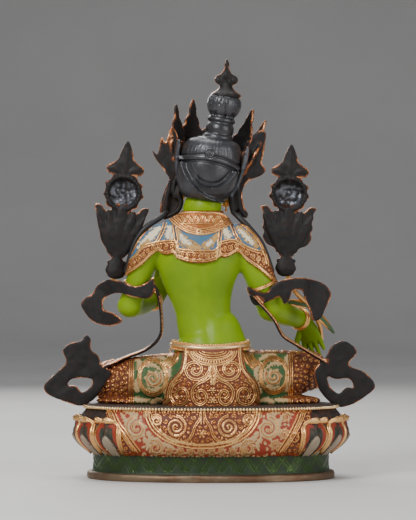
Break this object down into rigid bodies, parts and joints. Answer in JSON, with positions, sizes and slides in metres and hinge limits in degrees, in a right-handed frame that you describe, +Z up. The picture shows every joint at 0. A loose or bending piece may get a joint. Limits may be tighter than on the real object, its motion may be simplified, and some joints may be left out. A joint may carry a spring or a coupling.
{
  "type": "seated tara figure",
  "caption": "Cast copper goddess seated on an oval lotus pedestal, one foot on a small lotus, with a leafed crown, tall lotuses and curling scarf ends.",
  "frame": {"origin": "middle of the pedestal's flat underside", "axes": "+Z up; the figure faces -Y; +X is towards her left hand"},
  "size_m": [0.272, 0.2085, 0.34],
  "materials": {
    "gilded_copper": "antique fire gilding, worn pale on the ridges and red-brown in the recesses",
    "skin_paint": "smooth satin yellow-green paint",
    "black_paint": "satin black paint, rubbed to copper along the edges",
    "green_paint": "dark green paint, rubbed",
    "bare_copper": "bare weathered copper alloy, brushed and dull"
  },
  "bodies": {
    "root": {"pedestal": "gilded_copper", "figure": "skin_paint", "crown": "black_paint", "topknot_jewel": "black_paint", "lotus_left": "black_paint", "lotus_right": "black_paint", "scarf_left": "black_paint", "scarf_right": "black_paint"}
  },
  "joints": []
}
